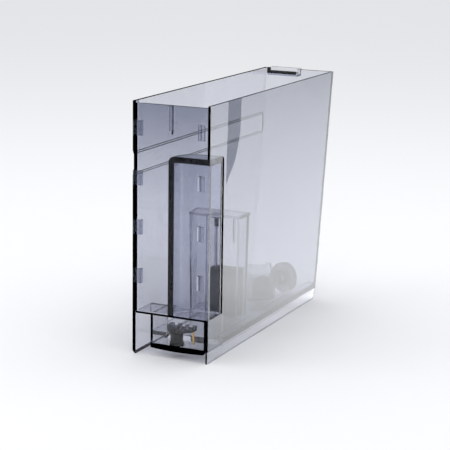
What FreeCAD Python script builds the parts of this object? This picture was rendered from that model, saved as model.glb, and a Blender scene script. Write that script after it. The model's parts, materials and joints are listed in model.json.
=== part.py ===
"""Fresh water tank of a coffee machine: a smoky transparent tank, open at the top, with a float
chamber, a filter cup, an outlet valve in a sump at its front and a pocket in its right wall.

Millimetres. Every sub-part is drawn in the tank's own frame, X across its width with 0 in the middle,
Y from the front face backwards, Z up from the edge that it rests on. Its Placement then moves it by
FRONT along Y, so that the origin is under the middle of the whole tank.
"""
import FreeCAD, Part
import math
import os

import Sketcher

SIZES = {
    # moulded shell
    "width": 82, "height": 250, "depth_top": 312, "depth_bottom": 274, "wall": 3.5,
    "side": 2.4, "floor_level": 12, "floor_thick": 3.2, "skirt_inset": 0.7, "skirt_root": 2, "corner": 5,
    "skirt_corner": 6, "skirt_chamfer": 2.6, "ledge_x": 30.6, "ledge_rise": 3.3, "weld": 0.1,
    # front wall with its hooks
    "panel": 3.3, "panel_top": 248, "panel_fillet": 1.8, "rib_x": 1.2, "rib_width": 2.6,
    "rib_low": 221, "rib_slant": 3.4, "tab_reach": 4, "tab_plate": 1.6, "tab_web": 1.8,
    "tab_tall": 14.4, "tab_first": 73, "tab_pitch": 48.2, "left_tab_x": -38.6,
    "left_tab_width": 9, "right_tab_x": 30.4, "right_tab_width": 6.6,
    # groove along the outside of the left wall
    "band_low": 178, "band_high": 201.5, "band_step": 2, "band_bevel": 0.75, "band_deep": 1.2,
    "band_end": 299,
    # finger lip at the top of the back wall and the grip strip in it
    "lip_left": -37.4, "lip_right": -1.2, "lip_drop": 6.2, "lip_thick": 2.4, "lip_reach": 10,
    "grip_front": 308.4, "grip_deep": 5.6, "grip_thick": 2.8, "grip_side": 2.2, "grip_end": 1.3,
    # pocket in the right wall
    "pocket_x": -3.6, "pocket_deep": 31.4, "pocket_top": 199.4, "liner": 5.8, "pocket_bend": 24,
    "pocket_round": 6,
    # sump under the pocket
    "shelf_top": 43.6, "shelf_thick": 2, "sump_x": -21, "sump_floor": 12.8, "sump_edge": 8.7,
    "sump_bow": 1.9, "sump_mid": 8, "bow_bend": 330, "sump_side": 1.9, "sump_back": 34.8,
    "window": 2.4, "sump_round": 4, "sump_ramp": 11,
    # outlet valve
    "valve_x": 2.3, "valve_y": 11.6, "spout": 5.2, "spout_low": 8, "valve_bore": 4,
    "seal_thick": 0.9, "valve_flange": 7, "flange_thick": 1.3, "barrel": 6.2, "barrel_top": 24.2,
    "seat_low": 17.5, "seat_top": 19, "seat_hole": 2.6, "spider_low": 15.3, "spider_thick": 2,
    "spider_hole": 0.9, "spider_pitch": 2.55, "nut_low": 8, "nut_top": 10.4, "nut_size": 8.4,
    "stem": 1.05, "stem_fit": 0.05, "stem_low": 8.3, "stem_top": 28, "poppet": 3.8, "poppet_thick": 1.5,
    "poppet_seal": 0.9, "crown_low": 24.5, "crown_bend": 27.8, "crown_top": 32.6,
    "crown_base": 6, "crown_left": -8.2, "crown_right": 19.6, "crown_deep": 9, "crown_wall": 1.3,
    "claw": 4.4, "claw_low": 29.6, "hub": 2.4, "hub_top": 29.5, "blade_x": 17.4, "blade_lean": 1.2,
    "blade_width": 1.8, "blade_thick": 0.6, "blade_low": 14.4, "blade_top": 26.9,
    "spring_low": 9.7, "spring_mean": 2.1, "spring_wire": 0.4, "spring_turns": 4, "clip": 3,
    "clip_thick": 0.8,
    # float chamber
    "chamber_x": -31, "chamber_y": 106.5, "chamber_long": 52, "chamber_wide": 21,
    "chamber_low": 15.4, "chamber_top": 121, "chamber_wall": 1.8, "chamber_draft": 0.9,
    "slit_x": 15.6, "slit_wide": 2, "slit_low": 96, "port_wide": 9, "port_tall": 5,
    "partition_x": -12.4, "partition": 1.4, "cap_thick": 2.6, "cap_edge": 0.8,
    "rod_x": -5.2, "rod_y": 117, "rod": 1.2, "rod_fit": 0.06, "rod_low": 17, "hanger_long": 9,
    "hanger_wide": 4, "hanger_tall": 3, "knob": 2.2, "knob_tall": 9,
    "float_x": -10, "float_long": 28, "float_wide": 16, "float_low": 16.4, "float_tall": 50,
    "float_round": 2, "magnet": 3, "magnet_tall": 5, "magnet_x": 11,
    # filter cup and its outlet
    "cup_x": -2.5, "cup_y": 202, "cup": 22.8, "cup_low": 15.4, "cup_tall": 28.6, "cup_wall": 1.6,
    "lug_turn": 20, "lug_long": 6, "lug_low": 30, "lug_top": 48, "dome_x": 7.1, "dome_y": 202.5,
    "dome": 11.2, "dome_wall": 1.2, "dome_straight": 9.7, "outlet_level": 31.9, "outlet_turn": 24.4,
    "pipe": 5.2, "pipe_wall": 1.4, "pipe_start": 11.6, "pipe_end": 38.5, "collar_start": 25.4,
    "collar_thick": 2, "hub_radius": 11.4, "ring_fit": 0.08, "ring": 16.2, "ring_start": 27.5,
    "ring_thick": 7.6, "notch": 2.4, "notches": 12, "face_thick": 2, "ring_seal": 8.6,
    "ring_seal_thick": 1.6,
}

FRONT = "(dims.tab_reach - dims.depth_top - dims.lip_reach) / 2"
LEFT = "(dims.wall + dims.weld - dims.width / 2)"
INSIDE = "(dims.width / 2 - dims.side)"
INNER = "(dims.width / 2 - dims.side - dims.weld)"
FLOOR_TOP = "(dims.floor_level + dims.floor_thick)"
LEAN = "((dims.depth_top - dims.depth_bottom) / dims.height)"
POCKET_BACK = "(dims.panel + dims.weld)"
BOLD = 8
X_AXIS = FreeCAD.Vector(1, 0, 0)
Y_AXIS = FreeCAD.Vector(0, 1, 0)
Z_AXIS = FreeCAD.Vector(0, 0, 1)

doc = FreeCAD.newDocument("fresh_water_tank")
pieces = []


def make_sheet():
    """The driving dimensions, one to a row, each under its alias."""
    sheet = doc.addObject("Spreadsheet::Sheet", "dims")
    for row, (alias, value) in enumerate(SIZES.items(), start=1):
        sheet.set("A%d" % row, alias)
        sheet.set("B%d" % row, str(value))
        sheet.setAlias("B%d" % row, alias)
    doc.recompute()


def finish(piece, x="0", y="0", z="0", shifted=True):
    """Keeps a finished sub-part and moves it from the tank's own frame into the part's."""
    doc.recompute()
    piece.setExpression("Placement.Base.x", x)
    piece.setExpression("Placement.Base.y", "%s + %s" % (FRONT, y) if shifted else y)
    piece.setExpression("Placement.Base.z", z)
    pieces.append(piece)
    return piece


def new_body(name):
    body = doc.addObject("PartDesign::Body", name)
    body.Label = name
    return body


def plane(body, role):
    return next(item for item in body.Origin.OriginFeatures if item.Role == role)


def new_sketch(body, name, role, offset="0"):
    """A sketch on one of the body's planes: front (XZ_Plane), side (YZ_Plane) or plan (XY_Plane)."""
    sketch = body.newObject("Sketcher::SketchObject", name)
    sketch.AttachmentSupport = [(plane(body, role), "")]
    sketch.MapMode = "FlatFace"
    sketch.setExpression("AttachmentOffset.Base.z", offset)
    return sketch


def tie(sketch, point, name, across, along):
    """Fixes one point of the sketch at two measures from its origin."""
    for kind, expression in (("DistanceX", across), ("DistanceY", along)):
        index = sketch.addConstraint(Sketcher.Constraint(kind, -1, 1, point[0], point[1], 1.0))
        label = "%s_%s" % (name, kind[-1])
        sketch.renameConstraint(index, label)
        sketch.setExpression("Constraints." + label, expression)


def outline(sketch, corners, name="p"):
    """A closed outline of straight lines through corners, each a pair of expressions."""
    count = len(corners)
    start = sketch.GeometryCount
    turn = [2 * math.pi * i / count for i in range(count)]
    rough = [FreeCAD.Vector(BOLD * math.cos(a), BOLD * math.sin(a), 0) for a in turn]
    for i in range(count):
        sketch.addGeometry(Part.LineSegment(rough[i], rough[(i + 1) % count]))
    for i in range(count):
        sketch.addConstraint(Sketcher.Constraint("Coincident", start + i, 2, start + (i + 1) % count, 1))
    for i, (across, along) in enumerate(corners):
        tie(sketch, (start + i, 1), "%s%d" % (name, i), across, along)


def block(sketch, left, right, low, high, name="b"):
    outline(sketch, [(left, low), (right, low), (right, high), (left, high)], name)


def ring(sketch, radius, across="0", along="0", name="c"):
    index = sketch.addGeometry(Part.Circle(FreeCAD.Vector(0, 0, 0), FreeCAD.Vector(0, 0, 1), 1.0))
    tie(sketch, (index, 3), name, across, along)
    radius_index = sketch.addConstraint(Sketcher.Constraint("Radius", index, 1.0))
    sketch.renameConstraint(radius_index, name + "_r")
    sketch.setExpression("Constraints." + name + "_r", radius)


def extrude(body, kind, name, sketch, length, reverse=False, middle=False, taper=None):
    """A Pad or Pocket of the sketch. It stops the build when it leaves the volume as it was."""
    before = body.Shape.Volume if body.Tip else 0.0
    feature = body.newObject("PartDesign::" + kind, name)
    feature.Profile = sketch
    feature.setExpression("Length", length)
    feature.Reversed = reverse
    feature.Midplane = middle
    if taper:
        feature.setExpression("TaperAngle", taper)
    doc.recompute()
    change = body.Shape.Volume - before
    if (change <= 0) if kind == "Pad" else (change >= 0):
        raise RuntimeError("%s.%s changed the volume by %.3f" % (body.Label, name, change))
    return feature


def revolve(body, name, sketch):
    feature = body.newObject("PartDesign::Revolution", name)
    feature.Profile = sketch
    feature.ReferenceAxis = (sketch, ["V_Axis"])
    feature.Angle = 360
    doc.recompute()
    return feature


def edge_names(feature, test):
    return ["Edge%d" % i for i, edge in enumerate(feature.Shape.Edges, start=1) if test(edge)]


def soften(body, name, radius, test):
    """A Fillet on the edges of the body's last feature that pass the test."""
    base = body.Tip
    feature = body.newObject("PartDesign::Fillet", name)
    feature.Base = (base, edge_names(base, test))
    feature.setExpression("Radius", radius)
    doc.recompute()
    return feature


def value(alias):
    return float(SIZES[alias])


def near(a, b, slack=0.05):
    return abs(a - b) < slack


def along(edge, axis):
    """True for a straight edge that runs along the axis."""
    if len(edge.Vertexes) != 2 or edge.Curve.TypeId != "Part::GeomLine":
        return False
    return abs(abs(edge.Curve.Direction.dot(axis)) - 1) < 1e-6


def middle_of(edge):
    box = edge.BoundBox
    return FreeCAD.Vector(box.Center)


def side_outline(sketch, low):
    """The tank's outline from the side, from low up: its back leans outwards."""
    back = "(dims.depth_bottom + %s * %s)" % (LEAN, low)
    outline(sketch, [("0", low), (back, low), ("dims.depth_top", "dims.height"), ("0", "dims.height")])


def shell_walls(body):
    """The outer block, hollowed: front, left wall, leaning back and floor, with a skirt below."""
    side = new_sketch(body, "side_outline", "YZ_Plane", "-dims.width / 2")
    side_outline(side, "0")
    extrude(body, "Pad", "outer", side, "dims.width - dims.side - dims.weld")
    soften(body, "back_skirt_corners", "dims.skirt_corner",
           lambda e: along(e, X_AXIS) and near(middle_of(e).y, value("depth_bottom")))

    past = "(dims.height + dims.corner)"
    back = "(dims.depth_bottom - dims.wall + %s * %s)"
    rear = [(back % (LEAN, FLOOR_TOP), FLOOR_TOP), (back % (LEAN, past), past)]
    space = new_sketch(body, "water_space", "YZ_Plane", "dims.wall - dims.width / 2")
    outline(space, [("dims.panel", FLOOR_TOP)] + rear + [("dims.panel", past)])
    extrude(body, "Pocket", "hollow", space, "dims.width", reverse=True)
    soften(body, "inside_corner", "dims.panel_fillet",
           lambda e: along(e, Z_AXIS) and near(middle_of(e).y, value("panel"))
           and middle_of(e).x < 0)


def shell_cuts(body):
    """Room for the sump, the lower front edge, the front of the pocket, the groove and the skirt."""
    under = new_sketch(body, "under_floor", "YZ_Plane", "dims.wall - dims.width / 2")
    behind = "dims.sump_back + dims.weld"
    sill = "dims.shelf_top + dims.weld"
    outline(under, [("-1", "-1"), ("dims.depth_top", "-1"), ("dims.depth_top", "dims.floor_level"),
                    (behind, "dims.floor_level"), (behind, sill), ("-1", sill)])
    extrude(body, "Pocket", "open_base", under, "dims.width", reverse=True)

    brow = new_sketch(body, "front_edge", "YZ_Plane", "dims.wall - dims.width / 2")
    block(brow, "-1", "dims.panel", "dims.panel_top", "dims.height + 1")
    extrude(body, "Pocket", "lower_front_edge", brow, "dims.width", reverse=True)

    apron = new_sketch(body, "apron", "XZ_Plane")
    block(apron, INNER + " - 1", "dims.width / 2", "dims.shelf_top + dims.weld",
          "dims.pocket_top - dims.weld")
    extrude(body, "Pad", "front_of_pocket", apron, "dims.panel", reverse=True)

    groove = new_sketch(body, "band", "XZ_Plane")
    outer = "(-dims.width / 2)"
    middle = "(dims.band_deep / 2 - dims.width / 2)"
    inner = "(dims.band_deep - dims.width / 2)"
    low = "dims.band_low"
    high = "dims.band_high"
    outline(groove, [(outer + " - 1", low), (outer, low), (middle, low + " + dims.band_bevel"),
                     (middle, low + " + dims.band_step"),
                     (inner, low + " + dims.band_step + dims.band_bevel"),
                     (inner, high + " - dims.band_step - dims.band_bevel"),
                     (middle, high + " - dims.band_step"),
                     (middle, high + " - dims.band_bevel"), (outer, high), (outer + " - 1", high)])
    extrude(body, "Pocket", "band_groove", groove, "dims.band_end")

    join = new_sketch(body, "skirt_join", "XZ_Plane", "-dims.sump_back - dims.weld")
    block(join, INNER + " - dims.skirt_root", INNER, "dims.floor_level - 3", "dims.floor_level + 1")
    block(join, INNER, "dims.width / 2 - dims.skirt_inset", "dims.floor_level - 3",
          "dims.floor_level - dims.weld", "o")
    extrude(body, "Pad", "skirt_root", join, "dims.depth_bottom - dims.sump_back - dims.skirt_corner",
            reverse=True)
    skirt = new_sketch(body, "right_skirt_outline", "XZ_Plane")
    block(skirt, INNER + " + dims.weld", "dims.width / 2 - dims.skirt_inset", "0",
          "dims.floor_level - dims.weld")
    extrude(body, "Pad", "right_skirt", skirt, "dims.depth_bottom", reverse=True)
    soften(body, "right_skirt_corner", "dims.skirt_corner",
           lambda e: along(e, X_AXIS) and near(middle_of(e).y, value("depth_bottom"))
           and near(middle_of(e).z, 0) and middle_of(e).x > 0)

    bevel = new_sketch(body, "left_skirt_bevel", "XZ_Plane")
    outline(bevel, [(outer + " - 1", "-1"), (outer + " + dims.skirt_chamfer + 1", "-1"),
                    (outer + " - 1", "dims.skirt_chamfer + 1")])
    extrude(body, "Pocket", "left_skirt_edge", bevel, "dims.depth_top")


def finger_lip(body):
    """The notch in the back wall's top and the lip that reaches back from it and turns up."""
    gap = new_sketch(body, "lip_gap", "XZ_Plane", "-dims.depth_top + 2.5 * dims.wall")
    block(gap, "dims.lip_left", "dims.lip_right", "dims.height - dims.lip_drop", "dims.height + 1")
    extrude(body, "Pocket", "lip_notch", gap, "3 * dims.wall")

    lip = new_sketch(body, "lip_section", "YZ_Plane", "dims.lip_left")
    shelf = "dims.height - dims.lip_drop"
    rear = "dims.depth_top + dims.lip_reach"
    outline(lip, [("dims.depth_top - 2", shelf + " - dims.lip_thick"),
                  (rear, shelf + " - dims.lip_thick"), (rear, "dims.height"),
                  (rear + " - dims.lip_thick", "dims.height"), (rear + " - dims.lip_thick", shelf),
                  ("dims.depth_top - 2", shelf)])
    extrude(body, "Pad", "lip", lip, "dims.lip_right - dims.lip_left")


def front_hooks(body):
    """Two columns of hooks on the front, each a plate on a web, and a rib with a slanted tip."""
    webs = new_sketch(body, "webs", "XZ_Plane")
    plates = new_sketch(body, "plates", "XZ_Plane", "dims.tab_reach - dims.tab_plate")
    columns = (("left", "dims.left_tab_x", "dims.left_tab_width", True),
               ("right", "dims.right_tab_x", "dims.right_tab_width", False))
    for side, x, wide, web_right in columns:
        for row in range(4):
            base = "dims.tab_first + %d * dims.tab_pitch" % row
            top = base + " + dims.tab_tall"
            name = "%s%d" % (side, row)
            block(plates, x, x + " + " + wide, base, top, name)
            web = (x + " + " + wide + " - dims.tab_web", x + " + " + wide)
            if not web_right:
                web = (x, x + " + dims.tab_web")
            block(webs, web[0], web[1], base, top, name)
    rib = ("dims.rib_x - dims.rib_width / 2", "dims.rib_x + dims.rib_width / 2")
    outline(webs, [(rib[0], "dims.rib_low + dims.rib_slant"), (rib[1], "dims.rib_low"),
                   (rib[1], "dims.panel_top"), (rib[0], "dims.panel_top")], "rib")
    extrude(body, "Pad", "hook_webs", webs, "dims.tab_reach")
    extrude(body, "Pad", "hook_plates", plates, "dims.tab_plate")


def tank_shell():
    """The tank but for its right wall, in one moulding open at the top, with hooks on its front."""
    body = new_body("tank_shell")
    shell_walls(body)
    shell_cuts(body)
    ledge = new_sketch(body, "ledge_outline", "XZ_Plane", "-dims.sump_back - 2")
    block(ledge, "dims.ledge_x", INNER, FLOOR_TOP + " - 1",
          FLOOR_TOP + " + dims.ledge_rise")
    extrude(body, "Pad", "ledge", ledge, "dims.depth_bottom - dims.sump_back - 2.5", reverse=True)
    finger_lip(body)
    front_hooks(body)
    return finish(body)


def right_wall():
    """The right wall, welded on: a flat plate with the pocket's opening cut into its front."""
    body = new_body("right_wall")
    side = new_sketch(body, "side_outline", "YZ_Plane", INSIDE)
    side_outline(side, "dims.floor_level")
    extrude(body, "Pad", "plate", side, "dims.side")
    opening = new_sketch(body, "pocket_opening", "YZ_Plane")
    block(opening, "-1", "dims.pocket_deep + dims.weld", "dims.shelf_top",
          "dims.pocket_top + dims.weld")
    extrude(body, "Pocket", "opening", opening, "dims.width", reverse=True)
    soften(body, "opening_corner", "dims.pocket_round",
           lambda e: along(e, X_AXIS) and near(middle_of(e).y, value("pocket_deep") + value("weld"))
           and middle_of(e).z > value("panel_top") / 2)
    return finish(body)


def grip_strip():
    """The dark soft strip in the lip's notch, turned up at its left end."""
    body = new_body("grip_strip")
    front = new_sketch(body, "section", "XZ_Plane", "-dims.grip_front")
    left = "(dims.lip_left + dims.weld)"
    low = "(dims.height - dims.lip_drop + dims.weld)"
    top = "(%s + dims.grip_thick)" % low
    right = "dims.lip_right - dims.weld"
    outline(front, [(left, low), (right, low), (right, top), (left + " + dims.grip_side", top),
                    (left + " + dims.grip_side", "dims.height"), (left, "dims.height")])
    extrude(body, "Pad", "strip", front, "dims.grip_deep", reverse=True)
    soften(body, "round_end", "dims.grip_end",
           lambda e: along(e, Y_AXIS) and middle_of(e).x > value("lip_right") - 1)
    return finish(body)


def pocket_liner():
    """The wall that closes the pocket off from the water: it bends from the front into the back."""
    body = new_body("pocket_liner")
    low = "(dims.shelf_top + dims.weld)"
    tall = "(dims.pocket_top - dims.shelf_top - dims.weld)"
    plan = new_sketch(body, "plan", "XY_Plane", low)
    block(plan, "dims.pocket_x", "dims.width / 2", POCKET_BACK, "dims.pocket_deep")
    extrude(body, "Pad", "outer", plan, tall)
    inside = new_sketch(body, "inside", "XY_Plane", low)
    block(inside, "dims.pocket_x + dims.liner", "dims.width / 2 + 1", POCKET_BACK + " - 1",
          "dims.pocket_deep - dims.liner")
    extrude(body, "Pocket", "hollow", inside, tall + " - dims.liner", reverse=True)
    soften(body, "inner_bend", "dims.pocket_bend - dims.liner",
           lambda e: along(e, Z_AXIS) and near(middle_of(e).x, value("pocket_x") + value("liner"))
           and near(middle_of(e).y, value("pocket_deep") - value("liner")))
    soften(body, "bend", "dims.pocket_bend",
           lambda e: along(e, Z_AXIS) and near(middle_of(e).x, value("pocket_x"))
           and near(middle_of(e).y, value("pocket_deep")))
    soften(body, "top_round", "dims.pocket_round",
           lambda e: near(middle_of(e).z, value("pocket_top")) and e.BoundBox.ZLength < 0.1
           and e.BoundBox.YMax > value("panel") + 1 and e.BoundBox.XMin < value("width") / 2 - 1)
    return finish(body)


def sump_box():
    """The shelf and the sump under it, closed at the front by a window and open to the tank behind."""
    body = new_body("sump_box")
    shelf_low = "(dims.shelf_top - dims.shelf_thick)"
    edge = "dims.sump_edge"
    block_outline = [("dims.sump_x", edge), ("dims.sump_mid", edge + " - dims.sump_bow"),
                     (INNER, edge), (INNER, "dims.shelf_top"), ("dims.sump_x", "dims.shelf_top")]
    shell = new_sketch(body, "section", "XZ_Plane")
    outline(shell, block_outline)
    extrude(body, "Pad", "outer", shell, "dims.sump_back", reverse=True)
    soften(body, "bowed_floor", "dims.bow_bend",
           lambda e: along(e, Y_AXIS) and near(middle_of(e).x, value("sump_mid"))
           and middle_of(e).z < value("sump_floor"))
    soften(body, "lower_corner", "dims.sump_round",
           lambda e: along(e, Y_AXIS) and middle_of(e).x > value("width") / 4
           and middle_of(e).z < value("sump_floor") and near(middle_of(e).z, value("sump_edge"), 0.6))
    space = new_sketch(body, "space", "XZ_Plane", "-dims.window")
    block(space, "dims.sump_x + dims.sump_side", INNER + " - dims.sump_side", "dims.sump_floor",
          shelf_low)
    extrude(body, "Pocket", "hollow", space, "dims.sump_back")
    ramp = new_sketch(body, "ramp_outline", "YZ_Plane", "dims.sump_x + dims.sump_side - 0.5")
    outline(ramp, [("dims.sump_back - dims.sump_ramp", "dims.sump_floor - 0.5"),
                   ("dims.sump_back", "dims.sump_floor - 0.5"), ("dims.sump_back", FLOOR_TOP),
                   ("dims.sump_back - dims.sump_ramp", "dims.sump_floor")])
    extrude(body, "Pad", "ramp", ramp, INNER + " - dims.sump_x - 2 * dims.sump_side + 1")
    shelf = new_sketch(body, "shelf_outline", "XZ_Plane")
    block(shelf, LEFT, "dims.sump_x + 1", shelf_low, "dims.shelf_top")
    extrude(body, "Pad", "shelf", shelf, "dims.sump_back", reverse=True)
    closing = new_sketch(body, "closing", "XZ_Plane", "-dims.pocket_deep")
    block(closing, LEFT, "dims.sump_x + 1", "dims.floor_level", shelf_low + " + 1")
    extrude(body, "Pad", "notch_back", closing, "dims.sump_back - dims.pocket_deep", reverse=True)
    hole = new_sketch(body, "outlet_hole", "XY_Plane")
    ring(hole, "dims.spout + dims.weld", "dims.valve_x", "dims.valve_y")
    extrude(body, "Pocket", "outlet", hole, "dims.sump_floor + 1", reverse=True)
    recess = new_sketch(body, "nut_recess", "XY_Plane")
    ring(recess, "dims.nut_size + 0.3", "dims.valve_x", "dims.valve_y")
    extrude(body, "Pocket", "recess", recess, "dims.nut_top + dims.weld", reverse=True)
    return finish(body)


def at_valve(body, x="0"):
    return finish(body, "dims.valve_x + " + x, "dims.valve_y")


def turned(name, corners):
    """A ring or shaft, turned about its own Z axis from an outline of radius and height."""
    body = new_body(name)
    profile = new_sketch(body, "profile", "XZ_Plane")
    outline(profile, corners)
    revolve(body, "turned", profile)
    return body


def washer(name, bore, outside, low, high):
    return turned(name, [(bore, low), (outside, low), (outside, high), (bore, high)])


def valve_body():
    """Barrel with the seat in it, a flange on the sump floor, the spout in it and a spider guide."""
    flange_low = "(dims.sump_floor + dims.seal_thick)"
    flange_top = "(%s + dims.flange_thick)" % flange_low
    body = turned("valve_body", [
        ("dims.valve_bore", "dims.spout_low"), ("dims.spout", "dims.spout_low"),
        ("dims.spout", flange_low), ("dims.valve_flange", flange_low),
        ("dims.valve_flange", flange_top), ("dims.barrel", flange_top),
        ("dims.barrel", "dims.barrel_top"), ("dims.barrel - 2", "dims.barrel_top"),
        ("dims.barrel - 2", "dims.seat_top"), ("dims.seat_hole", "dims.seat_top"),
        ("dims.seat_hole", "dims.seat_low"), ("dims.valve_bore", "dims.seat_low")])
    disc = new_sketch(body, "spider_disc", "XY_Plane", "dims.spider_low")
    ring(disc, "dims.valve_bore + 0.5", name="rim")
    ring(disc, "dims.stem + dims.stem_fit", name="guide")
    for index in range(3):
        turn = 2 * math.pi * index / 3
        ring(disc, "dims.spider_hole", "dims.spider_pitch * %.6f" % math.cos(turn),
             "dims.spider_pitch * %.6f" % math.sin(turn), "flow%d" % index)
    extrude(body, "Pad", "spider", disc, "dims.spider_thick")
    return at_valve(body)


def valve_nut():
    """The six-sided nut that holds the valve, sunk into the underside of the sump floor."""
    body = new_body("valve_nut")
    plan = new_sketch(body, "plan", "XY_Plane", "dims.nut_low")
    turns = [math.pi * index / 3 for index in range(6)]
    outline(plan, [("dims.nut_size * %.6f" % math.cos(a), "dims.nut_size * %.6f" % math.sin(a))
                   for a in turns])
    ring(plan, "dims.spout + dims.weld", name="thread")
    extrude(body, "Pad", "nut", plan, "dims.nut_top - dims.nut_low")
    return at_valve(body)


def valve_stem():
    """The brass stem with the poppet that closes the seat."""
    poppet_low = "(dims.seat_top + dims.poppet_seal)"
    poppet_top = "(%s + dims.poppet_thick)" % poppet_low
    return at_valve(turned("valve_stem", [
        ("0", "dims.stem_low"), ("dims.stem", "dims.stem_low"), ("dims.stem", poppet_low),
        ("dims.poppet", poppet_low), ("dims.poppet", poppet_top), ("dims.stem", poppet_top),
        ("dims.stem", "dims.stem_top"), ("0", "dims.stem_top")]))


def valve_crown():
    """The flared crown on top of the stem: a trough with claws cut into its rim."""
    body = new_body("valve_crown")
    profile = new_sketch(body, "profile", "XZ_Plane")
    outline(profile, [("-dims.crown_base", "dims.crown_low"), ("dims.crown_base", "dims.crown_low"),
                      ("dims.crown_right", "dims.crown_bend"), ("dims.crown_right", "dims.crown_top"),
                      ("dims.crown_left", "dims.crown_top"), ("dims.crown_left", "dims.crown_bend")])
    extrude(body, "Pad", "flare", profile, "dims.crown_deep", middle=True)
    inside = new_sketch(body, "inside", "XZ_Plane")
    wall = "dims.crown_wall"
    outline(inside, [(wall + " - dims.crown_base", "dims.crown_low + " + wall),
                     ("dims.crown_base - " + wall, "dims.crown_low + " + wall),
                     ("dims.crown_right - " + wall, "dims.crown_bend + " + wall),
                     ("dims.crown_right - " + wall, "dims.crown_top + 1"),
                     ("dims.crown_left + " + wall, "dims.crown_top + 1"),
                     ("dims.crown_left + " + wall, "dims.crown_bend + " + wall)])
    extrude(body, "Pocket", "trough", inside, "dims.crown_deep - 2 * dims.crown_wall", middle=True)
    claws = new_sketch(body, "claws", "XZ_Plane")
    for index, left in enumerate(("-4.6", "3.2", "11")):
        block(claws, left, left + " + dims.claw", "dims.claw_low", "dims.crown_top + 1",
              "claw%d" % index)
    extrude(body, "Pocket", "claw_gaps", claws, "dims.crown_deep + 2", middle=True)
    hub = new_sketch(body, "hub_plan", "XY_Plane", "dims.crown_low")
    ring(hub, "dims.hub")
    extrude(body, "Pad", "hub", hub, "dims.hub_top - dims.crown_low")
    bore = new_sketch(body, "bore_plan", "XY_Plane", "dims.crown_low")
    ring(bore, "dims.stem")
    extrude(body, "Pocket", "bore", bore, "dims.stem_top - dims.crown_low", reverse=True)
    return at_valve(body)


def contact_blade():
    """The thin brass blade that hangs from the crown's long side and leans a little."""
    body = new_body("contact_blade")
    face = new_sketch(body, "face", "XZ_Plane")
    half = "dims.blade_width / 2"
    outline(face, [("dims.blade_lean - " + half, "dims.blade_low"),
                   ("dims.blade_lean + " + half, "dims.blade_low"), (half, "dims.blade_top"),
                   ("-" + half, "dims.blade_top")])
    extrude(body, "Pad", "blade", face, "dims.blade_thick", middle=True)
    return at_valve(body, "dims.blade_x")


def valve_spring():
    """Compression spring of eight-sided wire, between the spider and the clip. It shuts the valve."""
    helix = doc.addObject("Part::Helix", "spring_line")
    tall = "(dims.spider_low - dims.spring_low - dims.spring_wire - 0.1)"
    helix.setExpression("Height", tall)
    helix.setExpression("Pitch", tall + " / dims.spring_turns")
    helix.setExpression("Radius", "dims.spring_mean")
    section = doc.addObject("Part::RegularPolygon", "spring_section")
    section.Polygon = 8
    section.setExpression("Circumradius", "dims.spring_wire / 2")
    section.setExpression("Placement.Base.x", "dims.spring_mean")
    section.Placement.Rotation = FreeCAD.Rotation(X_AXIS, 90)
    sweep = doc.addObject("Part::Sweep", "valve_spring")
    sweep.Sections = [section]
    sweep.Spine = (helix, ["Edge1"])
    sweep.Solid = True
    sweep.Frenet = True
    sweep.Label = "valve_spring"
    return finish(sweep, "dims.valve_x", "dims.valve_y", "dims.spring_low + dims.spring_wire / 2")


def outlet_valve():
    valve_body()
    valve_nut()
    valve_stem()
    valve_crown()
    contact_blade()
    valve_spring()
    at_valve(washer("flange_seal", "dims.spout + dims.weld", "dims.valve_flange - 0.2",
                    "dims.sump_floor", "dims.sump_floor + dims.seal_thick"))
    at_valve(washer("poppet_seal", "dims.stem", "dims.poppet - 0.1", "dims.seat_top",
                    "dims.seat_top + dims.poppet_seal"))
    at_valve(washer("stem_clip", "dims.stem", "dims.clip", "dims.spring_low - dims.clip_thick - 0.1",
                    "dims.spring_low - 0.1"))


def float_chamber():
    """Tall clear box, a little wider at its top, with a slit, two ports and a partition."""
    body = new_body("float_chamber")
    tall = "(dims.chamber_top - dims.chamber_low)"
    right = "(dims.chamber_x + dims.chamber_long)"
    back = "(dims.chamber_y + dims.chamber_wide)"
    thick = "dims.chamber_wall"
    plan = new_sketch(body, "plan", "XY_Plane", "dims.chamber_low")
    block(plan, "dims.chamber_x", right, "dims.chamber_y", back)
    extrude(body, "Pad", "outer", plan, tall, taper="dims.chamber_draft")
    inside = new_sketch(body, "inside", "XY_Plane", "dims.chamber_low")
    middle = "dims.partition_x + dims.partition"
    block(inside, "dims.chamber_x + " + thick, "dims.partition_x",
          "dims.chamber_y + " + thick, back + " - " + thick, "a")
    block(inside, middle, right + " - " + thick, "dims.chamber_y + " + thick,
          back + " - " + thick, "b")
    extrude(body, "Pocket", "hollow", inside, tall, reverse=True)
    cuts = new_sketch(body, "cuts", "XZ_Plane", "-dims.chamber_y + 6")
    block(cuts, "dims.slit_x", "dims.slit_x + dims.slit_wide", "dims.slit_low",
          "dims.chamber_top + 1", "slit")
    for name, left in (("port_a", "dims.chamber_x + 4"), ("port_b", "dims.partition_x + 6")):
        block(cuts, left, left + " + dims.port_wide", "dims.chamber_low - 1",
              "dims.chamber_low + dims.port_tall", name)
    extrude(body, "Pocket", "openings", cuts, "dims.chamber_wall + 6.5")
    return finish(body)


def chamber_cap():
    body = new_body("chamber_cap")
    spread = "(tan(dims.chamber_draft) * (dims.chamber_top - dims.chamber_low) + dims.cap_edge)"
    plan = new_sketch(body, "plan", "XY_Plane", "dims.chamber_top + dims.weld")
    block(plan, "dims.chamber_x - " + spread, "dims.chamber_x + dims.chamber_long + " + spread,
          "dims.chamber_y - " + spread, "dims.chamber_y + dims.chamber_wide + " + spread)
    extrude(body, "Pad", "plate", plan, "dims.cap_thick")
    return finish(body)


def guide_rod():
    top = "(dims.chamber_top - dims.hanger_tall)"
    return finish(turned("guide_rod", [("0", "dims.rod_low"), ("dims.rod", "dims.rod_low"),
                                       ("dims.rod", top), ("0", top)]), "dims.rod_x", "dims.rod_y")


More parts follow.
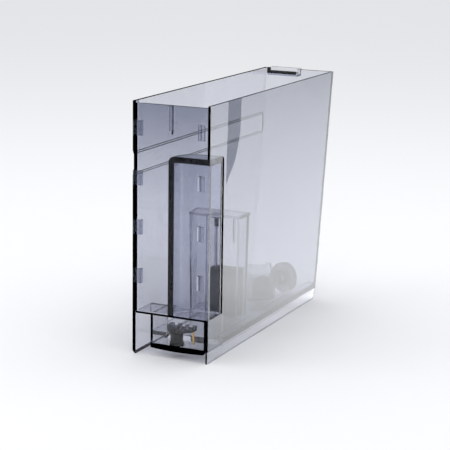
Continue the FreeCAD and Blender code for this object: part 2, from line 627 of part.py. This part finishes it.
def rod_hanger():
    """The dark crossbar under the cap that the rod hangs from, with a knob around the rod."""
    body = new_body("rod_hanger")
    bar = new_sketch(body, "bar_plan", "XY_Plane", "dims.chamber_top - dims.hanger_tall")
    block(bar, "-dims.hanger_long / 2", "dims.hanger_long / 2", "-dims.hanger_wide / 2",
          "dims.hanger_wide / 2")
    extrude(body, "Pad", "bar", bar, "dims.hanger_tall")
    knob = new_sketch(body, "knob_plan", "XY_Plane", "dims.chamber_top - dims.hanger_tall + 0.5")
    ring(knob, "dims.knob", name="outer")
    ring(knob, "dims.rod", name="bore")
    extrude(body, "Pad", "knob", knob, "dims.knob_tall", reverse=True)
    return finish(body, "dims.rod_x", "dims.rod_y")


def level_float():
    """The foam float: a block bored for the rod, with a pocket for its magnet."""
    body = new_body("level_float")
    plan = new_sketch(body, "plan", "XY_Plane", "dims.float_low")
    block(plan, "dims.float_x", "dims.float_x + dims.float_long", "dims.rod_y - dims.float_wide / 2",
          "dims.rod_y + dims.float_wide / 2")
    extrude(body, "Pad", "block", plan, "dims.float_tall")
    soften(body, "round_edges", "dims.float_round", lambda e: along(e, Z_AXIS))
    bore = new_sketch(body, "bore_plan", "XY_Plane", "dims.float_low")
    ring(bore, "dims.rod + dims.rod_fit", "dims.rod_x", "dims.rod_y")
    extrude(body, "Pocket", "bore", bore, "dims.float_tall + 1", reverse=True)
    seat = new_sketch(body, "magnet_seat", "XY_Plane",
                      "dims.float_low + dims.float_tall - dims.magnet_tall")
    ring(seat, "dims.magnet", "dims.magnet_x", "dims.rod_y")
    extrude(body, "Pocket", "seat", seat, "dims.magnet_tall + 1", reverse=True)
    return finish(body)


def float_magnet():
    low = "(dims.float_low + dims.float_tall - dims.magnet_tall)"
    top = "(dims.float_low + dims.float_tall)"
    return finish(turned("float_magnet", [("0", low), ("dims.magnet", low), ("dims.magnet", top),
                                          ("0", top)]), "dims.magnet_x", "dims.rod_y")


def primitive(kind, name, **measures):
    """A Part primitive with its sizes, and its place as x, y and z, given as expressions."""
    solid = doc.addObject("Part::" + kind, name)
    for key, expression in measures.items():
        solid.setExpression("Placement.Base." + key if key in "xyz" else key, expression)
    return solid


def combine(kind, name, *shapes):
    solid = doc.addObject("Part::" + kind, name)
    if kind == "Cut":
        solid.Base, solid.Tool = shapes
    else:
        solid.Shapes = list(shapes)
    solid.Label = name
    return solid


def filter_cup():
    """Round clear cup on the floor, with a lug on its rim and a hole for the outlet pipe."""
    outside = primitive("Cylinder", "cup_outside", Radius="dims.cup", Height="dims.cup_tall")
    lug = primitive("Box", "cup_lug", Length="dims.lug_long", Width="dims.cup_wall",
                    Height="dims.lug_top - dims.lug_low", z="dims.lug_low - dims.cup_low")
    reach = "(dims.cup - dims.cup_wall / 2)"
    lug.setExpression("Placement.Base.x", reach + " * sin(dims.lug_turn) - dims.lug_long / 2")
    lug.setExpression("Placement.Base.y", reach + " * cos(dims.lug_turn)")
    lug.Placement.Rotation = FreeCAD.Rotation(Z_AXIS, -value("lug_turn"))
    inside = primitive("Cylinder", "cup_inside", Radius="dims.cup - dims.cup_wall",
                       Height="dims.cup_tall", z="dims.cup_wall")
    hole = primitive("Cylinder", "cup_hole", Radius="dims.pipe + 0.6", Height="2 * dims.cup",
                     x="dims.dome_x - dims.cup_x", y="dims.dome_y - dims.cup_y",
                     z="dims.outlet_level - dims.cup_low")
    hole.Placement.Rotation = outlet_direction()
    cup = combine("Cut", "filter_cup", combine("MultiFuse", "cup_solid", outside, lug),
                  combine("MultiFuse", "cup_cuts", inside, hole))
    return finish(cup, "dims.cup_x", "dims.cup_y", "dims.cup_low")


def strainer_dome():
    """Domed strainer over the cup's outlet, with a hole at its back for the pipe."""
    inner = "dims.dome - dims.dome_wall"
    outside = combine(
        "MultiFuse", "dome_outside",
        primitive("Sphere", "dome_ball", Radius="dims.dome", z="dims.dome_straight"),
        primitive("Cylinder", "dome_skirt", Radius="dims.dome", Height="dims.dome_straight"))
    way_out = primitive("Cylinder", "dome_exit", Radius="dims.pipe + 0.3", Height="2 * dims.dome",
                        z="dims.outlet_level - dims.cup_low - dims.cup_wall - 0.2")
    way_out.Placement.Rotation = outlet_direction()
    inside = combine(
        "MultiFuse", "dome_cuts", way_out,
        primitive("Sphere", "dome_hollow", Radius=inner, z="dims.dome_straight"),
        primitive("Cylinder", "dome_bore", Radius=inner, Height="dims.dome_straight + 0.5"),
        primitive("Box", "dome_below", Length="3 * dims.dome", Width="3 * dims.dome",
                  Height="dims.dome", x="-1.5 * dims.dome", y="-1.5 * dims.dome", z="-dims.dome"))
    dome = combine("Cut", "strainer_dome", outside, inside)
    return finish(dome, "dims.dome_x", "dims.dome_y", "dims.cup_low + dims.cup_wall + 0.2")


def outlet_direction():
    """Turns a Z axis to lie level, pointing backwards and outlet_turn degrees towards the right."""
    level = FreeCAD.Rotation(X_AXIS, -90)
    return FreeCAD.Rotation(Z_AXIS, -value("outlet_turn")).multiply(level)


def at_outlet(body):
    """Places a turned piece, whose axis is its own Z, on the outlet's level axis."""
    piece = finish(body, "dims.dome_x", "dims.dome_y", "dims.outlet_level")
    piece.Placement.Rotation = outlet_direction()
    return piece


def filter_outlet():
    """Pipe from the strainer to the coupling, and the notched ring that turns on the coupling."""
    hub_end = "(dims.ring_start + dims.ring_thick)"
    at_outlet(turned("outlet_pipe", [
        ("dims.pipe - dims.pipe_wall", "dims.pipe_start"), ("dims.pipe", "dims.pipe_start"),
        ("dims.pipe", "dims.collar_start"), ("dims.hub_radius", "dims.collar_start"),
        ("dims.hub_radius", hub_end), ("dims.hub_radius - 2", hub_end),
        ("dims.hub_radius - 2", "dims.collar_start + dims.collar_thick"),
        ("dims.pipe", "dims.collar_start + dims.collar_thick"), ("dims.pipe", "dims.pipe_end"),
        ("dims.pipe - dims.pipe_wall", "dims.pipe_end")]))
    at_outlet(washer("outlet_seal", "dims.pipe", "dims.ring_seal",
                     "dims.collar_start + dims.collar_thick",
                     "dims.collar_start + dims.collar_thick + dims.ring_seal_thick"))
    body = new_body("coupling_ring")
    plan = new_sketch(body, "plan", "XY_Plane", "dims.ring_start")
    ring(plan, "dims.ring", name="outer")
    ring(plan, "dims.hub_radius + dims.ring_fit", name="bore")
    extrude(body, "Pad", "rim", plan, "dims.ring_thick")
    notches = new_sketch(body, "notches", "XY_Plane", "dims.ring_start")
    for index in range(int(SIZES["notches"])):
        turn = 2 * math.pi * index / SIZES["notches"]
        ring(notches, "dims.notch / 2", "(dims.ring + 0.3) * %.6f" % math.cos(turn),
             "(dims.ring + 0.3) * %.6f" % math.sin(turn), "n%d" % index)
    extrude(body, "Pocket", "grips", notches, "dims.ring_thick - dims.face_thick", reverse=True)
    at_outlet(body)


def check_and_export():
    doc.recompute()
    for item in doc.Objects:
        if "Invalid" in item.State or "Error" in item.State:
            raise RuntimeError("%s is %s" % (item.Name, item.State))
    os.makedirs("parts", exist_ok=True)
    for piece in pieces:
        shape = piece.Shape
        if shape.isNull() or not shape.isValid() or len(shape.Solids) != 1:
            raise RuntimeError("%s: %d solids, valid %s" % (piece.Label, len(shape.Solids),
                                                           not shape.isNull() and shape.isValid()))
        shape.exportStep("parts/%s.step" % piece.Label)
        box = shape.BoundBox
        print("%-16s %10.1f mm3  x %.1f..%.1f  y %.1f..%.1f  z %.1f..%.1f" % (
            piece.Label, shape.Volume, box.XMin, box.XMax, box.YMin, box.YMax, box.ZMin, box.ZMax))


make_sheet()
tank_shell()
right_wall()
grip_strip()
pocket_liner()
sump_box()
outlet_valve()
float_chamber()
chamber_cap()
guide_rod()
rod_hanger()
level_float()
float_magnet()
filter_cup()
strainer_dome()
filter_outlet()
check_and_export()
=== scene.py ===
"""Looks of the fresh water tank: smoky clear plastic on a pale floor, in front of a pale backdrop."""
import json
import math

import bmesh
import bpy
from mathutils import Matrix, Vector


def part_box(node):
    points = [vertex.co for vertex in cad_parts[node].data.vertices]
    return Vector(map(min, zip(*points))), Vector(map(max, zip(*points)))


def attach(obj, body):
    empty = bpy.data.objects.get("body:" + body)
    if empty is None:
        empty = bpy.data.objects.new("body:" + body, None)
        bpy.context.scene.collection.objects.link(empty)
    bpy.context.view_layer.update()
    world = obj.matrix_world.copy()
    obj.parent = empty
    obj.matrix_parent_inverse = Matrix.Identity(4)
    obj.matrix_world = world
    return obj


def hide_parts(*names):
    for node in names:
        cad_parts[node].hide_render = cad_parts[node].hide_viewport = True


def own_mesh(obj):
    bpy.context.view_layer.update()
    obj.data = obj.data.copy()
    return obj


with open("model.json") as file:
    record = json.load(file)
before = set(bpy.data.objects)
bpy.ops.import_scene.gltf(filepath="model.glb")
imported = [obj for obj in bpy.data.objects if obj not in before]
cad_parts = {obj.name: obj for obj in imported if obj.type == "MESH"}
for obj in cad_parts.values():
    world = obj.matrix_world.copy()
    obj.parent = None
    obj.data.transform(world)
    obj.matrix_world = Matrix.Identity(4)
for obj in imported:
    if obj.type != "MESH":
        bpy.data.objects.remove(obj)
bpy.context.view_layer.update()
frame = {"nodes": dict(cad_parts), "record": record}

SLOTS = {row["node"]: row["material_slot"] for row in frame["record"]["subparts"]}
EYE = Vector((0.6561, -1.4400, 0.4569))

# The tank, in metres. Its outer faces come from the frame.
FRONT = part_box("right_wall")[0][1]
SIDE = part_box("right_wall")[1][0]
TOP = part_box("right_wall")[1][2]
WALL = 0.0035
GROOVE_LOW, GROOVE_HIGH, GROOVE_LENGTH = 0.178, 0.2015, 0.299
GROOVE_STEP, GROOVE_SLOPE, GROOVE_DEEP = 0.002, 0.00075, 0.0012
SUMP_WALL, SUMP_LIP, SUMP_PANE_LEFT = 0.0019, 0.0062, -0.0196
COIL_TURNS, COIL_STEPS, COIL_SIDES, COIL_WIRE = 4, 112, 8, 0.0002

# Colours that darken the front wall (painted shade), the hooks (deeper smoke, and painted shade on the
# left ones) and the top of the sump, and the black painted as shade on a clear wall's end.
FRONT_PAINTED_SHADE = (0.48, 0.50, 0.57)
LEFT_HOOK_SMOKE_AND_SHADE, RIGHT_HOOK_SMOKE = (0.56, 0.58, 0.65), (0.84, 0.85, 0.90)
SHELF_TOP_DARK = (0.50, 0.51, 0.58)
PAINTED_END_SHADE, PAINTED_END_SHADE_ROUGH = (0.0, 0.0, 0.001), 0.6
PLASTIC_IOR = 1.49
BOUNCES = 32


# ---------------------------------------------------------------- camera, lights and floor

def make_camera():
    """Stands at the front right, a little above the tank, and looks down at it with a long lens."""
    yaw, pitch, roll = math.radians(25.05), math.radians(12.65), math.radians(0.84)
    back = Vector((math.sin(yaw) * math.cos(pitch), -math.cos(yaw) * math.cos(pitch), math.sin(pitch)))
    level = (-back).cross(Vector((0, 0, 1))).normalized()
    plumb = level.cross(-back)
    right = level * math.cos(roll) + plumb * math.sin(roll)
    up = plumb * math.cos(roll) - level * math.sin(roll)
    data = bpy.data.cameras.new("camera")
    data.lens = 123.7
    data.sensor_width = 36
    camera = bpy.data.objects.new("camera", data)
    turned = Matrix((right, up, back)).transposed().to_4x4()
    camera.matrix_world = Matrix.Translation(EYE) @ turned
    bpy.context.scene.collection.objects.link(camera)
    bpy.context.scene.camera = camera


def make_light(name, place, target, size, power):
    """A soft box that faces its target."""
    data = bpy.data.lights.new(name, "AREA")
    data.shape = "RECTANGLE"
    data.size, data.size_y = size
    data.energy = power
    light = bpy.data.objects.new(name, data)
    light.location = place
    aim = Vector(target) - Vector(place)
    light.rotation_euler = aim.to_track_quat("-Z", "Y").to_euler()
    bpy.context.scene.collection.objects.link(light)


def fade_along_y(tree, socket, start, end, glow, far_glow):
    """Drives a socket from glow to far_glow between two places along Y."""
    coords = tree.nodes.new("ShaderNodeTexCoord")
    axes = tree.nodes.new("ShaderNodeSeparateXYZ")
    fade = tree.nodes.new("ShaderNodeMapRange")
    fade.inputs["From Min"].default_value = start
    fade.inputs["From Max"].default_value = end
    fade.inputs["To Min"].default_value = glow
    fade.inputs["To Max"].default_value = far_glow
    tree.links.new(coords.outputs["Object"], axes.inputs["Vector"])
    tree.links.new(axes.outputs["Y"], fade.inputs["Value"])
    tree.links.new(fade.outputs["Result"], socket)


def make_card(name, corners, glow, far_glow=None):
    """A studio card that only glossy reflections see. It fades from glow to far_glow along Y."""
    mat = bpy.data.materials.new(name)
    mat.use_nodes = True
    shader = mat.node_tree.nodes["Principled BSDF"]
    shader.inputs["Base Color"].default_value = (0.0, 0.0, 0.0, 1)
    shader.inputs["Specular IOR Level"].default_value = 0.0
    shader.inputs["Emission Color"].default_value = (0.97, 0.98, 1.0, 1)
    shader.inputs["Emission Strength"].default_value = glow
    if far_glow is not None:
        fade_along_y(mat.node_tree, shader.inputs["Emission Strength"], corners[0][1], corners[2][1],
                     glow, far_glow)
    mat.cycles.emission_sampling = "NONE"
    mesh = bpy.data.meshes.new(name)
    mesh.from_pydata(corners, [], [tuple(range(len(corners)))])
    mesh.materials.append(mat)
    card = bpy.data.objects.new(name, mesh)
    bpy.context.scene.collection.objects.link(card)
    card.visible_camera = False
    card.visible_diffuse = False
    card.visible_shadow = False
    card.visible_transmission = False
    card.visible_volume_scatter = False


def seen_in_side(y, z):
    """The place on the floor whose mirror image in the right wall stands at y and z."""
    ray = Vector((SIDE, y, z)) - EYE
    reach = -z / ray.z
    return (SIDE - ray.x * reach, y + ray.y * reach, 0.001)


def upright(y, low, high, left, right):
    """Corners of a card that stands across the stage."""
    return [(left, y, low), (right, y, low), (right, y, high), (left, y, high)]


def flat(front, back, left, right):
    """Corners of a card that lies just above the floor."""
    z = 0.0005
    return [(left, front, z), (right, front, z), (right, back, z), (left, back, z)]


def make_cards():
    """What the walls mirror: dark in front and high behind, bright on the floor to the right.

    A dark strip lies on the bright floor. The right wall mirrors it as the tall wedge near its top."""
    flag, join, beside = -0.32, 0.12, SIDE + 0.001
    make_card("front_card", upright(flag, -0.05, 0.45, -1.3, 0.4), 0.0)
    make_card("high_card", upright(1.2, 0.36, 1.0, -1.5, 0.1), 0.02)
    make_card("front_floor_card", flat(flag, FRONT - 0.0005, -1.3, SIDE), 0.0)
    make_card("near_floor_card", flat(FRONT - 0.2, join, beside, 1.6), 0.4, 3.15)
    make_card("far_floor_card", flat(join, 2.4, beside, 1.6), 3.15, 1.15)
    wedge = [(0.039, TOP), (0.069, TOP), (0.067, 0.86 * TOP), (0.056, 0.76 * TOP), (0.036, 0.68 * TOP)]
    make_card("wedge_strip", [seen_in_side(FRONT + y, z) for y, z in wedge], 0.12)


def make_floor():
    """Plain pale floor, a hair below the tank's edge."""
    mesh = bpy.data.meshes.new("floor")
    reach = 14.0
    mesh.from_pydata([(-reach, -reach, 0), (reach, -reach, 0), (reach, reach, 0), (-reach, reach, 0)],
                     [], [(0, 1, 2, 3)])
    floor = bpy.data.objects.new("floor", mesh)
    floor.location.z = -0.0004
    bpy.context.scene.collection.objects.link(floor)
    mat = bpy.data.materials.new("floor_white")
    mat.use_nodes = True
    shader = mat.node_tree.nodes["Principled BSDF"]
    shader.inputs["Base Color"].default_value = (0.90, 0.90, 0.905, 1)
    shader.inputs["Roughness"].default_value = 0.55
    shader.inputs["Specular IOR Level"].default_value = 0.0
    mesh.materials.append(mat)


def make_surroundings():
    """Pale world, soft boxes and cards, and enough bounces for light to get through the walls."""
    scene = bpy.context.scene
    scene.view_settings.view_transform = "Standard"
    scene.cycles.max_bounces = BOUNCES
    scene.cycles.transmission_bounces = BOUNCES
    scene.cycles.transparent_max_bounces = BOUNCES
    world = bpy.data.worlds.new("studio")
    world.use_nodes = True
    sky = world.node_tree.nodes["Background"]
    sky.inputs["Color"].default_value = (0.90, 0.91, 0.93, 1)
    sky.inputs["Strength"].default_value = 0.945
    scene.world = world
    make_cards()
    make_light("top_box", (0.3, 0.1, 1.6), (0, 0, 0.1), (1.6, 1.6), 7.6)
    make_light("left_box", (-1.5, -0.9, 0.9), (0, 0, 0.12), (0.9, 1.2), 6)


# ---------------------------------------------------------------- materials

class Nodes:
    """A new material with its own node tree, and short calls to add and link nodes."""

    def __init__(self, name):
        self.material = bpy.data.materials.new(name)
        self.material.use_nodes = True
        self.tree = self.material.node_tree
        self.shader = self.tree.nodes["Principled BSDF"]
        self.output = self.tree.nodes["Material Output"]

    def add(self, kind, **values):
        node = self.tree.nodes.new(kind)
        for key, value in values.items():
            node.inputs[key.replace("_", " ")].default_value = value
        return node

    def link(self, source, target):
        self.tree.links.new(source, target)

    def noise(self, scale, detail=3.0, stretch=(1, 1, 1)):
        """Noise over the object's own coordinates, scale features to a metre."""
        coords = self.tree.nodes.new("ShaderNodeTexCoord")
        mapping = self.tree.nodes.new("ShaderNodeMapping")
        mapping.inputs["Scale"].default_value = stretch
        self.link(coords.outputs["Object"], mapping.inputs["Vector"])
        noise = self.add("ShaderNodeTexNoise", Scale=scale, Detail=detail)
        self.link(mapping.outputs["Vector"], noise.inputs["Vector"])
        return noise.outputs["Fac"]

    def ramp(self, factor, low, high, start=0.35, end=0.7):
        """Turns a factor into values from low to high."""
        node = self.tree.nodes.new("ShaderNodeMapRange")
        node.inputs["From Min"].default_value = start
        node.inputs["From Max"].default_value = end
        node.inputs["To Min"].default_value = low
        node.inputs["To Max"].default_value = high
        self.link(factor, node.inputs["Value"])
        return node.outputs["Result"]

    def along(self, axis, low, high, start, end):
        """A value that goes from low to high between two places on one of the object's axes."""
        coords = self.tree.nodes.new("ShaderNodeTexCoord")
        axes = self.tree.nodes.new("ShaderNodeSeparateXYZ")
        self.link(coords.outputs["Object"], axes.inputs["Vector"])
        return self.ramp(axes.outputs[axis], low, high, start, end)

    def between(self, axis, start, end, soft=0.0001):
        """1 between two places on one of the object's axes, and 0 outside them."""
        return self.math("MULTIPLY", self.along(axis, 0, 1, start - soft, start),
                         self.along(axis, 1, 0, end, end + soft))

    def math(self, operation, *values):
        """The result of a sum on sockets or numbers."""
        node = self.tree.nodes.new("ShaderNodeMath")
        node.operation = operation
        for socket, value in zip(node.inputs, values):
            self.put(value, socket)
        return node.outputs["Value"]

    def put(self, value, socket):
        """Links a socket, or sets a number or colour."""
        if isinstance(value, bpy.types.NodeSocket):
            self.link(value, socket)
        else:
            socket.default_value = (*value, 1) if isinstance(value, tuple) else value

    def blend(self, factor, one, two):
        """Colour two over colour one, by the factor."""
        node = self.tree.nodes.new("ShaderNodeMix")
        node.data_type = "RGBA"
        self.put(one, node.inputs[6])
        self.put(two, node.inputs[7])
        self.link(factor, node.inputs["Factor"])
        return node.outputs[2]

    def bump(self, height, strength, distance):
        node = self.add("ShaderNodeBump", Strength=strength, Distance=distance)
        self.link(height, node.inputs["Height"])
        self.link(node.outputs["Normal"], self.shader.inputs["Normal"])


def front_painted_shade(m, colour):
    """Painted shade: the front wall is darker from the middle of the pocket's height up to its top."""
    middle = (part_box("pocket_liner")[0][2] + TOP) / 2
    upper = m.math("MULTIPLY", m.between("Y", FRONT - 0.0001, FRONT + WALL + 0.0001),
                   m.along("Z", 0, 1, middle, TOP))
    return m.blend(upper, colour, FRONT_PAINTED_SHADE)


def hook_smoke_and_shade(m, colour):
    """Deeper smoke on the hooks that stand out of the front wall; the left hooks are darker still,
    which is painted shade.
    """
    hooks = m.blend(m.along("X", 0, 1, -0.01, 0.01), LEFT_HOOK_SMOKE_AND_SHADE, RIGHT_HOOK_SMOKE)
    return m.blend(m.along("Y", 1, 0, FRONT - 0.0004, FRONT - 0.0001), colour, hooks)


def groove_shade_lines(m):
    """1 on the slopes along the groove in the left wall, and at its rear end: where black is painted as
    shade.
    """
    end = FRONT + GROOVE_LENGTH
    edges = m.math("MULTIPLY", m.between("Y", end - 0.0005, end + 0.0003),
                   m.between("Z", GROOVE_LOW, GROOVE_HIGH))
    for low in (GROOVE_LOW, GROOVE_LOW + GROOVE_STEP, GROOVE_HIGH - GROOVE_STEP - GROOVE_SLOPE,
                GROOVE_HIGH - GROOVE_SLOPE):
        edges = m.math("MAXIMUM", edges, m.between("Z", low, low + GROOVE_SLOPE))
    return m.math("MULTIPLY", edges, m.between("X", -SIDE + 0.0001, -SIDE + GROOVE_DEEP + 0.0002))


def shell_tint_and_shade(m, colour):
    """The shell's colour, with painted shade on the upper front wall and the left hooks, and where
    black is painted as shade on its wall ends.
    """
    return hook_smoke_and_shade(m, front_painted_shade(m, colour)), groove_shade_lines(m)


def liner_painted_shade(m, colour):
    """Black is painted as shade on the liner where its front edge and the rear edge of its mouth end
    the thick wall.
    """
    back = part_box("pocket_liner")[1][1]
    mouth = m.math("MULTIPLY", m.along("X", 0, 1, SIDE - 0.0002, SIDE - 0.0001),
                   m.along("Y", 0, 1, back - 0.0042, back - 0.0038))
    front = m.along("Y", 1, 0, FRONT + WALL + 0.0003, FRONT + WALL + 0.0005)
    return colour, m.math("MAXIMUM", front, mouth)


def sump_tint_and_shade(m, colour):
    """Black is painted as shade on the front ends of the sump's walls, floor and shelf, round the clear
    window. The sump is also darker at its top.
    """
    low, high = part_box("sump_box")
    pane = m.math("MULTIPLY", m.between("X", SUMP_PANE_LEFT, high[0] - SUMP_WALL),
                  m.between("Z", low[2] + SUMP_LIP, high[2] - 0.002))
    face = m.along("Y", 1, 0, FRONT + 0.0001, FRONT + 0.0002)
    # the sump is darker towards its top face
    shelf = m.along("Z", 0, 1, high[2] - 0.0006, high[2] - 0.0002)
    return (m.blend(shelf, colour, SHELF_TOP_DARK),
            m.math("MULTIPLY", face, m.math("SUBTRACT", 1.0, pane)))


def light_shadow(m):
    """Lets most light through to what the clear plastic would shade."""
    path = m.tree.nodes.new("ShaderNodeLightPath")
    through = m.add("ShaderNodeBsdfTransparent", Color=(0.86, 0.86, 0.88, 1))
    mix = m.tree.nodes.new("ShaderNodeMixShader")
    m.link(path.outputs["Is Shadow Ray"], mix.inputs[0])
    m.link(m.shader.outputs[0], mix.inputs[1])
    m.link(through.outputs[0], mix.inputs[2])
    m.link(mix.outputs[0], m.output.inputs["Surface"])


def absorb(m, absorbs):
    """Takes light from what passes through the plastic, per millimetre of red, green and blue."""
    density = 1000 * max(absorbs) / 0.9
    passes = [1 - 1000 * value / density for value in absorbs]
    volume = m.add("ShaderNodeVolumeAbsorption", Color=(*passes, 1), Density=density)
    m.link(volume.outputs[0], m.output.inputs["Volume"])


def clear_plastic(name, absorbs, rough=0.008, ripple=0.00003, tint=None):
    """Solid clear plastic. tint gives its colour from place to place, and where black is painted as
    shade.
    """
    m = Nodes(name)
    colour = m.blend(m.ramp(m.noise(90, 3), 0, 1), (1, 1, 1), (0.97, 0.97, 0.975))
    roughness = m.ramp(m.noise(160, 4), rough * 0.6, rough * 1.6)
    if tint:
        colour, black = tint(m, colour)
        # painted shade: black, rough and metallic, with no edge tint, where a clear wall's end stands
        colour = m.blend(black, colour, PAINTED_END_SHADE)
        roughness = m.math("MAXIMUM", roughness, m.math("MULTIPLY", black, PAINTED_END_SHADE_ROUGH))
        m.link(black, m.shader.inputs["Metallic"])
        m.link(m.blend(black, (1.0, 1.0, 1.0), (0.0, 0.0, 0.0)), m.shader.inputs["Specular Tint"])
    m.link(colour, m.shader.inputs["Base Color"])
    m.link(roughness, m.shader.inputs["Roughness"])
    m.shader.inputs["Transmission Weight"].default_value = 1.0
    m.shader.inputs["IOR"].default_value = PLASTIC_IOR
    m.bump(m.noise(14, 1, (1, 1, 0.35)), 0.3, ripple)
    light_shadow(m)
    absorb(m, absorbs)
    return m.material


def moulded_plastic(name, one, two, rough, fine=900, grain=0.00003, gloss=0.5):
    """Opaque moulded plastic in two near colours, with a fine grain."""
    m = Nodes(name)
    m.link(m.blend(m.ramp(m.noise(60, 4), 0, 1), one, two), m.shader.inputs["Base Color"])
    m.link(m.ramp(m.noise(240, 3), rough * 0.8, rough * 1.25), m.shader.inputs["Roughness"])
    m.bump(m.noise(fine, 2), 0.4, grain)
    m.shader.inputs["Specular IOR Level"].default_value = gloss
    return m.material


def metal(name, one, two, rough):
    """Bare metal in two near colours, with a fine grain drawn along Z."""
    m = Nodes(name)
    m.shader.inputs["Metallic"].default_value = 1.0
    m.link(m.blend(m.ramp(m.noise(300, 4), 0, 1), one, two), m.shader.inputs["Base Color"])
    m.link(m.ramp(m.noise(500, 3, (1, 1, 8)), rough * 0.7, rough * 1.4), m.shader.inputs["Roughness"])
    m.bump(m.noise(1500, 2, (1, 1, 6)), 0.3, 0.00002)
    return m.material


# ---------------------------------------------------------------- pieces

def coil_points(low, high):
    """Rings of points round a wire that winds from the low corner's height to the high corner's."""
    radius = (high[0] - low[0]) / 2 - COIL_WIRE
    centre = (Vector(low) + Vector(high)) / 2
    climb = high[2] - low[2] - 2 * COIL_WIRE
    points = []
    for step in range(COIL_STEPS + 1):
        turn = 2 * math.pi * COIL_TURNS * step / COIL_STEPS
        height = low[2] + COIL_WIRE + climb * step / COIL_STEPS
        for side in range(COIL_SIDES):
            lean = 2 * math.pi * side / COIL_SIDES
            reach = radius + COIL_WIRE * math.cos(lean)
            points.append((centre.x + reach * math.cos(turn), centre.y + reach * math.sin(turn),
                           height + COIL_WIRE * math.sin(lean)))
    return points


def coil_faces():
    """Joins each ring of points to the next, and closes both ends of the wire."""
    faces = []
    for step in range(COIL_STEPS):
        for side in range(COIL_SIDES):
            one = step * COIL_SIDES + side
            two = step * COIL_SIDES + (side + 1) % COIL_SIDES
            faces.append((one, two, two + COIL_SIDES, one + COIL_SIDES))
    faces.append(tuple(reversed(range(COIL_SIDES))))
    faces.append(tuple(range(COIL_STEPS * COIL_SIDES, (COIL_STEPS + 1) * COIL_SIDES)))
    return faces


def coil_mesh(low, high):
    """The round wire as a closed mesh whose faces all point outwards."""
    mesh = bpy.data.meshes.new("spring_coil")
    mesh.from_pydata(coil_points(low, high), [], coil_faces())
    solid = bmesh.new()
    solid.from_mesh(mesh)
    bmesh.ops.recalc_face_normals(solid, faces=solid.faces)
    solid.to_mesh(mesh)
    solid.free()
    return mesh


def make_spring(steel):
    """The valve's spring in round wire."""
    low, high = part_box("valve_spring")
    mesh = coil_mesh(low, high)
    mesh.materials.append(steel)
    coil = bpy.data.objects.new("spring_coil", mesh)
    bpy.context.scene.collection.objects.link(coil)
    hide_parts("valve_spring")
    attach(coil, "tank")
    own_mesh(coil)


def make_looks():
    """A finish for each material slot, and for the few pieces that differ from their slot."""
    return {
        "smoke_clear": clear_plastic("smoke_clear", (0.060, 0.057, 0.041), 0.004, 0.000015, shell_tint_and_shade),
        # painted shade: the right wall's plastic takes about five times as much light per millimetre as
        # the shell's, to darken it against the bright floor it mirrors
        "smoke_veiled": clear_plastic("smoke_veiled", (0.285, 0.27, 0.23), 0.002, 0.00001),
        "smoke_deep": clear_plastic("smoke_deep", (0.080, 0.076, 0.054), 0.004, 0.000015, liner_painted_shade),
        "sump_box": clear_plastic("sump_clear", (0.022, 0.021, 0.016), tint=sump_tint_and_shade),
        "valve_crown": clear_plastic("dark_clear", (0.90, 0.88, 0.78)),
        "filter_cup": clear_plastic("cup_clear", (0.17, 0.16, 0.145)),
        "clear": clear_plastic("clear", (0.020, 0.019, 0.016)),
        "clear_grey": clear_plastic("clear_grey", (0.15, 0.142, 0.13), 0.08),
        "strainer": moulded_plastic("strainer", (0.08, 0.105, 0.10), (0.12, 0.15, 0.14), 0.6),
        "black_plastic": moulded_plastic("black_plastic", (0.003, 0.003, 0.005), (0.008, 0.008, 0.011),
                                         0.12, gloss=0.3),
        "float_foam": moulded_plastic("float_foam", (0.012, 0.012, 0.016), (0.03, 0.03, 0.036),
                                      0.75, 500, 0.0002),
        "magnet": metal("magnet", (0.10, 0.10, 0.11), (0.16, 0.16, 0.17), 0.45),
        "rubber": moulded_plastic("rubber", (0.010, 0.010, 0.011), (0.022, 0.022, 0.023), 0.7),
        "brass": metal("brass", (0.62, 0.38, 0.12), (0.74, 0.50, 0.20), 0.28),
        "steel": metal("steel", (0.42, 0.42, 0.44), (0.60, 0.60, 0.62), 0.3)}


def dress_cad(looks):
    """Gives every CAD node its own finish, or else its slot's."""
    for node, piece in frame["nodes"].items():
        for slot in piece.material_slots:
            slot.material = looks.get(node, looks[SLOTS[node]])


make_camera()
make_surroundings()
make_floor()
looks = make_looks()
dress_cad(looks)
make_spring(looks["steel"])
